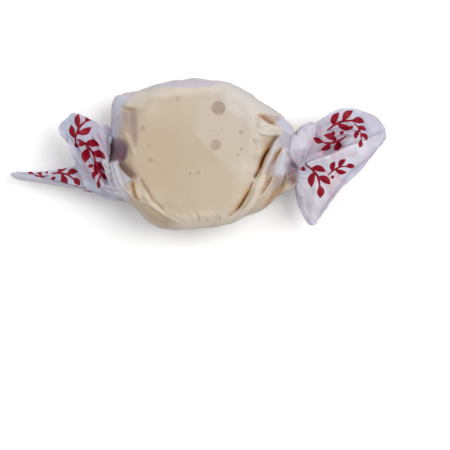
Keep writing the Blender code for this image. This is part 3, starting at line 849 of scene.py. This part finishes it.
def wrapper_sheet():
    """The whole sheet, its material's fields, and the pleats inside its waists, with the way they face."""
    rings, (left_waist, right_waist), front, fan, wall = plain_sheet()
    back = 1 - front
    flat = rings[..., :2].copy()
    normals = np.cross(np.gradient(rings, axis=0), np.roll(rings, -1, axis=1) - np.roll(rings, 1, axis=1))
    normals /= np.linalg.norm(normals, axis=-1, keepdims=True)
    level = np.abs(normals[..., 2])
    on_wall = rings[..., (0, 2)] + FAR_WALL_SHIFT * (flat[..., 1:] > 0)
    wall *= crumple_field(on_wall, seed=31, runs=10, size=3.4, height=0.055)
    rings[..., :2] += wall[..., None] * normals[..., :2]

    folds = fold_height(flat)
    pocket = smooth_step(within(POCKET, flat) / POCKET_SOFTNESS + POCKET_SPREAD)
    pocket *= 1 - smooth_step(fan * POCKET_STOP)
    deep = smooth_step((POCKET_SHADE_FROM - flat[..., 1]) / (POCKET_SHADE_FROM - POCKET_SHADE_TO))
    rise = front * (folds - POCKET_DEPTH * pocket * (POCKET_LEAST + (1 - POCKET_LEAST) * deep))
    crumple = smooth_step(fan * CRUMPLE_START)
    on_fan = flat + BACK_FAN_SHIFT * back[..., None]
    rise += crumple * crumple_field(on_fan, seed=12, runs=9, size=3.4, height=0.08)
    rise += crumple * back * crumple_field(flat, seed=23, runs=5, size=7, height=0.35)
    from_middle = np.hypot(flat[..., 0], flat[..., 1])
    sides = np.clip(from_middle - FACE_RADIUS, 0, FACE_EDGE) / FACE_EDGE * (1 - crumple)
    on_body = flat + BACK_BODY_SHIFT * back[..., None]
    rise += sides * crumple_field(on_body, seed=6, runs=8, size=5, height=0.11)
    rings[..., 2] = np.maximum(rings[..., 2] + rise, 0)

    fields = {name: front * shade for name, shade in shade_fields(flat).items()}
    # the hollow's painted shade, and how far towards its deep part each point is
    fields["pocket"] = front * pocket
    fields["deep"] = deep
    off_tablet = smooth_step((from_middle - TABLET_RADIUS) / TABLET_EDGE)
    loose = np.maximum(smooth_step(fan * FAN_BARE_START), back * off_tablet * BACK_BARE)
    fields["bare"] = np.maximum(fields["bare"], loose)
    fields["second"] = front * second_layer(flat)
    fields["bubble"] = front * bubble_field(flat)
    here = print_distance(flat + PRINT_SHIFT * (front * folds)[..., None])
    turned = print_distance(flat * (1, -1) - (0, BACK_PRINT_SHIFT))
    shown = (fan > PRINT_START) & (level > PRINT_LEVEL)
    fields["printed"] = np.where(shown, np.where(front > 0.5, here, turned), UNPRINTED)
    fields["beneath"] = np.where(shown & (front > 0.5), turned, UNPRINTED)

    inner = (
        (inner_pleats(rings[LEFT_FAN_RINGS], left_waist, -1), -1),
        (inner_pleats(rings[LEFT_FAN_RINGS + BODY_RINGS - 1], right_waist, 1), 1),
    )
    return rings, fields, inner


def sheet_mesh(name, rings, fields):
    """A mesh of closed rings, with the fields as its point attributes."""
    count, around = rings.shape[:2]
    ring, point = np.meshgrid(np.arange(count - 1), np.arange(around), indexing="ij")
    here, following = ring * around + point, ring * around + (point + 1) % around
    faces = np.stack([here, following, following + around, here + around], axis=-1).reshape(-1, 4)
    mesh = bpy.data.meshes.new(name)
    mesh.from_pydata(rings.reshape(-1, 3) * MM, [], faces, shade_flat=False)
    for field, values in fields.items():
        attribute = mesh.attributes.new(field, "FLOAT", "POINT")
        attribute.data.foreach_set("value", np.ascontiguousarray(values, np.float32).ravel())
    return mesh


class Nodes:
    """A short way to build a material's nodes."""

    def __init__(self, name):
        self.material = bpy.data.materials.new(name)
        self.material.use_nodes = True
        self.tree = self.material.node_tree
        self.surface = self.tree.nodes["Principled BSDF"]
        self.output = self.tree.nodes["Material Output"]

    def fill(self, node, inputs):
        """Puts values, or the outputs of other nodes, on a node's inputs."""
        for name, value in inputs.items():
            socket = node.inputs[name]
            if isinstance(value, bpy.types.NodeSocket):
                self.tree.links.new(value, socket)
            else:
                socket.default_value = (*value, 1) if socket.type == "RGBA" else value

    def node(self, kind, inputs, **settings):
        made = self.tree.nodes.new(kind)
        for name, value in settings.items():
            setattr(made, name, value)
        self.fill(made, inputs)
        return made

    def field(self, name):
        return self.node("ShaderNodeAttribute", {}, attribute_name=name).outputs["Fac"]

    def maths(self, operation, *values):
        return self.node("ShaderNodeMath", dict(enumerate(values)), operation=operation).outputs[0]

    def scaled(self, value, times, plus):
        return self.maths("MULTIPLY_ADD", value, times, plus)

    def ramp(self, value, low, high, start=0, end=1):
        """From start, where the value is at or under low, smoothly to end, from high on."""
        inputs = {"Value": value, "From Min": low, "From Max": high, "To Min": start, "To Max": end}
        return self.node("ShaderNodeMapRange", inputs, interpolation_type="SMOOTHSTEP").outputs[0]

    def mix(self, share, a, b):
        inputs = {"Factor": share, "A": a, "B": b}
        return self.node("ShaderNodeMix", inputs, data_type="RGBA").outputs["Result"]

    def noise(self, per_mm, detail, roughness=0.5):
        place = self.node("ShaderNodeTexCoord", {}).outputs["Object"]
        inputs = {"Vector": place, "Scale": per_mm / MM, "Detail": detail, "Roughness": roughness}
        return self.node("ShaderNodeTexNoise", inputs).outputs["Fac"]

    def bump(self, height, strength, depth):
        """A normal that a height disturbs."""
        inputs = {"Height": height, "Strength": strength, "Distance": depth * MM}
        return self.node("ShaderNodeBump", inputs).outputs[0]


def waxed_paper():
    n = Nodes("waxed_paper")
    clouds = n.noise(per_mm=0.16, detail=3)
    fibre = n.noise(per_mm=2.2, detail=3, roughness=0.6)
    white = n.mix(n.ramp(clouds, low=0.33, high=0.67), PAPER_COOL, PAPER_WARM)
    cream = n.mix(n.field("second"), PAPER_ON_TAFFY, SECOND_LAYER)
    cream = n.mix(n.ramp(clouds, low=0.35, high=0.7, end=0.15), cream, CLOUD_SHADE)
    cream = n.mix(n.field("clear"), cream, PAPER_ON_SLOPE)
    colour = n.mix(n.field("bare"), cream, white)
    # painted highlight, on bare paper and on the paper over the taffy
    colour = n.mix(n.field("light"), colour, n.mix(n.field("bare"), TAFFY_PAINTED_HIGHLIGHT, PAPER_PAINTED_HIGHLIGHT))
    speckles = n.ramp(n.noise(per_mm=0.9, detail=2), low=0.25, high=0.55, start=0.7)
    colour = n.mix(n.maths("MULTIPLY", n.field("bubble"), speckles), colour, BUBBLE_SHADE)
    # painted glow and painted shade over the paper
    for name, shade in OVERLAYS:
        colour = n.mix(n.field(name), colour, shade)
    # painted glow beside the creases, and painted shade in their dark cores
    colour = n.mix(n.ramp(n.field("brown"), low=0, high=0.6), colour, GLOW_AMBER)
    colour = n.mix(n.ramp(n.field("brown"), low=0.3, high=0.95), colour, CREASE_SHADE)
    # painted shade in the hollow, darker towards its deep part
    colour = n.mix(n.field("pocket"), colour, n.mix(n.field("deep"), POCKET_TOP_SHADE, POCKET_DEEP_SHADE))
    beneath = n.ramp(n.field("beneath"), low=-0.3, high=0.4, start=0.3, end=0)
    colour = n.mix(beneath, colour, PRINT_FAINT)
    printed = n.ramp(n.field("printed"), low=-0.06, high=0.06, start=1, end=0)
    colour = n.mix(printed, colour, PRINT_RED)
    grain = n.maths("MULTIPLY", n.noise(per_mm=0.9, detail=4, roughness=0.6), GRAIN_SHARE)
    normal = n.bump(n.maths("ADD", fibre, grain), strength=0.3, depth=0.06)
    roughness = n.scaled(fibre, times=0.16, plus=0.36)
    finish = {"Base Color": colour, "Roughness": roughness, "Specular IOR Level": 0.2, "Normal": normal}
    n.fill(n.surface, finish)
    through = n.node("ShaderNodeBsdfTranslucent", {"Color": colour, "Normal": normal})
    both = n.node("ShaderNodeMixShader", {0: TRANSLUCENCY, 1: n.surface.outputs[0], 2: through.outputs[0]})
    n.fill(n.output, {"Surface": both.outputs[0]})
    return n.material


def taffy_cream():
    n = Nodes("taffy_cream")
    streaks = n.noise(per_mm=0.35, detail=5, roughness=0.6)
    colour = n.mix(n.ramp(streaks, low=0.3, high=0.7), TAFFY_PALE, TAFFY_DARK)
    normal = n.bump(n.noise(per_mm=1.2, detail=4), strength=0.4, depth=0.2)
    roughness = n.scaled(streaks, times=0.2, plus=0.4)
    n.fill(n.surface, {"Base Color": colour, "Roughness": roughness, "Normal": normal})
    return n.material


def floor_finish():
    n = Nodes("floor")
    n.fill(n.surface, {"Base Color": FLOOR_WHITE, "Roughness": 0.9, "Specular IOR Level": 0.2})
    return n.material


def new_object(name, mesh, material):
    mesh.materials.clear()
    mesh.materials.append(material)
    made = bpy.data.objects.new(name, mesh)
    bpy.context.scene.collection.objects.link(made)
    return made


def make_wrapper():
    paper = waxed_paper()
    rings, fields, inner = wrapper_sheet()
    wrapper = new_object("wrapper_paper", sheet_mesh("wrapper_paper", rings, fields), paper)
    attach(wrapper, "root")
    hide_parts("wrapper")
    for name, (pleats, outward) in zip(("left_twist", "right_twist"), inner):
        plain = {field: np.zeros(pleats.shape[:2]) for field in fields}
        plain["bare"] += 1
        plain["printed"] += UNPRINTED
        plain["beneath"] += UNPRINTED
        twist = new_object(name, sheet_mesh(name, pleats[::outward], plain), paper)
        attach(twist, "root")


def dress_taffy():
    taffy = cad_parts["taffy"]
    taffy.material_slots[0].material = taffy_cream()


def make_floor():
    corners = [(x * FLOOR_HALF, y * FLOOR_HALF, 0) for x, y in ((-1, -1), (1, -1), (1, 1), (-1, 1))]
    mesh = bpy.data.meshes.new("floor")
    mesh.from_pydata(corners, [], [(0, 1, 2, 3)])
    new_object("floor", mesh, floor_finish())


def make_light(name, place, size, watts, colour):
    """A round light that shines from its place, in metres, at the origin."""
    light = bpy.data.lights.new(name, "AREA")
    light.shape = "DISK"
    light.size = size
    light.energy = watts
    light.color = colour
    made = bpy.data.objects.new(name, light)
    made.location = place
    made.rotation_mode = "QUATERNION"
    made.rotation_quaternion = Vector(place).to_track_quat("Z", "Y")
    bpy.context.scene.collection.objects.link(made)


def make_lights():
    make_light("key", place=(0.34, 0.1, 0.44), size=0.45, watts=2.5, colour=(1, 0.99, 0.97))
    make_light("fill", place=(-0.36, 0.22, 0.45), size=0.5, watts=1.1, colour=(0.97, 0.98, 1))
    world = bpy.data.worlds.new("studio")
    world.use_nodes = True
    background = world.node_tree.nodes["Background"]
    background.inputs["Color"].default_value = (1, 1, 1, 1)
    background.inputs["Strength"].default_value = WORLD_STRENGTH
    bpy.context.scene.world = world
    bpy.context.scene.view_settings.view_transform = "Standard"


def make_camera():
    """Looks straight down on the face, at the photograph's scale and framing."""
    camera = bpy.data.cameras.new("camera")
    camera.lens = LENS
    camera.sensor_width = SENSOR_WIDTH
    seen = PHOTO_WIDTH * PIXEL_MM * MM
    middle = PHOTO_WIDTH / 2
    made = bpy.data.objects.new("camera", camera)
    made.location = (
        (middle - ORIGIN_PIXEL[0]) * PIXEL_MM * MM,
        (ORIGIN_PIXEL[1] - middle) * PIXEL_MM * MM,
        SCALE_HEIGHT * MM + seen * camera.lens / camera.sensor_width,
    )
    camera.clip_start, camera.clip_end = CLIP
    bpy.context.scene.collection.objects.link(made)
    bpy.context.scene.camera = made


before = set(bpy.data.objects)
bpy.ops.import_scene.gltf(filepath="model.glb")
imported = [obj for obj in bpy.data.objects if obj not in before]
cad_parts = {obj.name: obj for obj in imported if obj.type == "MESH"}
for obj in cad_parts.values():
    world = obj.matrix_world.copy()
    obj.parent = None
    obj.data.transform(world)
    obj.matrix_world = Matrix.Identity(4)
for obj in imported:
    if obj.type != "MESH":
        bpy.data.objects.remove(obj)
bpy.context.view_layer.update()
make_camera()
make_wrapper()
dress_taffy()
make_floor()
make_lights()
